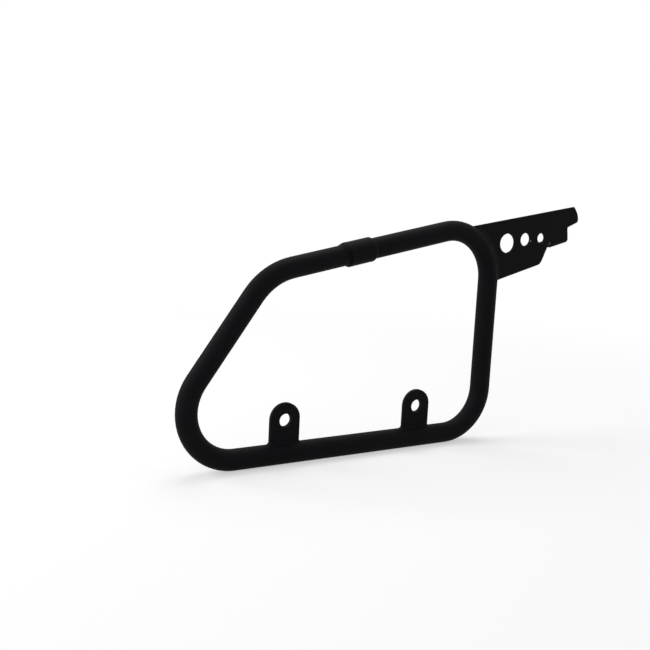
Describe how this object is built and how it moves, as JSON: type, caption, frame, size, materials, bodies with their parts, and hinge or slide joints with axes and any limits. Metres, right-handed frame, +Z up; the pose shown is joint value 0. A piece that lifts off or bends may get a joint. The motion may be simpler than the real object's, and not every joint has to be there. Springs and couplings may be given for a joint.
{
  "type": "pannier frame",
  "caption": "Bent tube loop with bolt lugs and a folded sheet bracket, which bolts to a motorbike's side and holds a soft pannier away from the wheel.",
  "frame": {"origin": "midway between the two lug holes, in the middle plane of the tube loop", "axes": "+X along the bottom bar towards the mounting bracket, +Y inwards to the bike, square to the loop, +Z up"},
  "size_m": [0.4394, 0.0382, 0.2314],
  "materials": {
    "powder_coat": "satin black powder coat on steel, with a fine grain"
  },
  "bodies": {
    "root": {"tube_loop": "powder_coat", "socket_weld": "powder_coat", "front_lug": "powder_coat", "front_lug_weld": "powder_coat", "rear_lug": "powder_coat", "rear_lug_weld": "powder_coat", "mounting_bracket": "powder_coat", "bracket_weld_outer": "powder_coat", "bracket_weld_inner": "powder_coat"}
  },
  "joints": []
}
